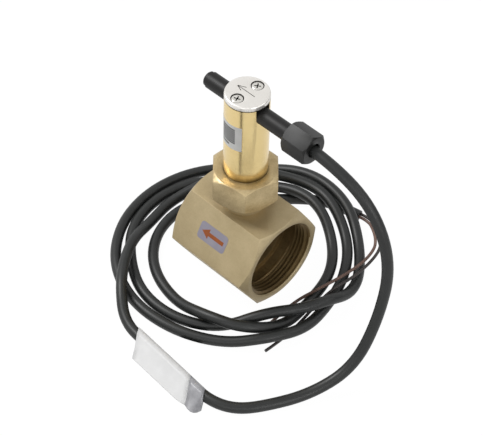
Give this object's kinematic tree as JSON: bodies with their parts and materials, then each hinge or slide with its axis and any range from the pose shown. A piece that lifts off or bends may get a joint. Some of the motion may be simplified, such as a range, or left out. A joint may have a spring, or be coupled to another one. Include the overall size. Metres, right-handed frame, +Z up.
{
  "type": "paddle flow switch",
  "caption": "Brass hexagon-bar T-piece with threaded pipe ports, a union nut, a round switch housing with a pivoted paddle, and a cross tube with reed contact and coiled cable.",
  "frame": {"origin": "middle of the bottom flat of the T-piece, under the housing's axis", "axes": "+X along the pipe towards the inlet port and the cable's side, +Z up along the housing, +Y away from the side that carries the direction sticker"},
  "size_m": [0.1873, 0.1744, 0.1392],
  "materials": {
    "tee_brass": "matt turned and blasted brass",
    "nut_brass": "turned brass",
    "housing_brass": "fine turned brass",
    "cover_nickel": "satin plated disc",
    "steel": "plain stainless steel",
    "magnet": "plated magnet",
    "seal_rubber": "black rubber",
    "black_plastic": "satin black plastic",
    "gland_plastic": "satin black moulded plastic",
    "white_plastic": "plain white plastic",
    "clear_glass": "clear tinted glass",
    "sticker": "printed film sticker with a plain arrow",
    "foil_label": "silver grey film label",
    "cable_sheath": "satin dark grey sheath",
    "core_brown": "brown insulated core",
    "core_black": "black insulated core",
    "marker_film": "white and clear film"
  },
  "bodies": {
    "switch_body": {"tee_body": "tee_brass", "branch_nipple": "tee_brass", "housing_seal": "seal_rubber", "housing": "housing_brass", "pivot_carrier": "housing_brass", "pivot_pin": "steel", "stop_pin": "steel", "carrier_clip": "steel", "return_magnet": "magnet", "clamp_cover": "cover_nickel", "direction_sticker": "sticker", "housing_label": "foil_label", "cable": "cable_sheath", "core_brown": "core_brown", "core_black": "core_black", "cable_marker": "marker_film"},
    "nut": {"union_nut": "nut_brass"},
    "paddle": {"paddle_arm": "housing_brass", "paddle_plate": "steel", "paddle_rivets": "steel", "paddle_magnet": "magnet"},
    "reed_unit": {"reed_tube": "black_plastic", "tube_plug": "black_plastic", "reed_boat": "white_plastic", "reed_capsule": "clear_glass", "reed_blades": "steel", "reed_leads": "core_brown", "cable_resin": "black_plastic", "gland_body": "black_plastic", "cable_grommet": "seal_rubber", "claw_ring": "black_plastic"},
    "cap_nut": {"gland_nut": "gland_plastic"},
    "front_screw": {"clamp_screw_front": "steel"},
    "back_screw": {"clamp_screw_back": "steel"}
  },
  "joints": [
    {"name": "paddle_pivot", "type": "hinge", "parent": "switch_body", "child": "paddle", "pos_m": [0, 0, 0.09], "axis": [0, 1, 0], "range_deg": [0, 12], "stiffness_Nm_per_rad": 0.02, "springref_deg": -5.73},
    {"name": "reed_slide", "type": "slide", "parent": "switch_body", "child": "reed_unit", "axis": [1, 0, 0], "range_m": [-0.006, 0.006]},
    {"name": "union_nut_turn", "type": "hinge", "parent": "switch_body", "child": "nut", "pos_m": [0, 0, 0.073], "axis": [0, 0, 1], "continuous": true},
    {"name": "cap_nut_turn", "type": "hinge", "parent": "reed_unit", "child": "cap_nut", "pos_m": [0.04, 0, 0.1297], "axis": [1, 0, 0], "continuous": true},
    {"name": "front_screw_turn", "type": "hinge", "parent": "switch_body", "child": "front_screw", "pos_m": [-0.00045, -0.00729, 0.134], "axis": [0, 0, 1], "continuous": true},
    {"name": "back_screw_turn", "type": "hinge", "parent": "switch_body", "child": "back_screw", "pos_m": [0.00045, 0.00729, 0.134], "axis": [0, 0, 1], "continuous": true}
  ]
}
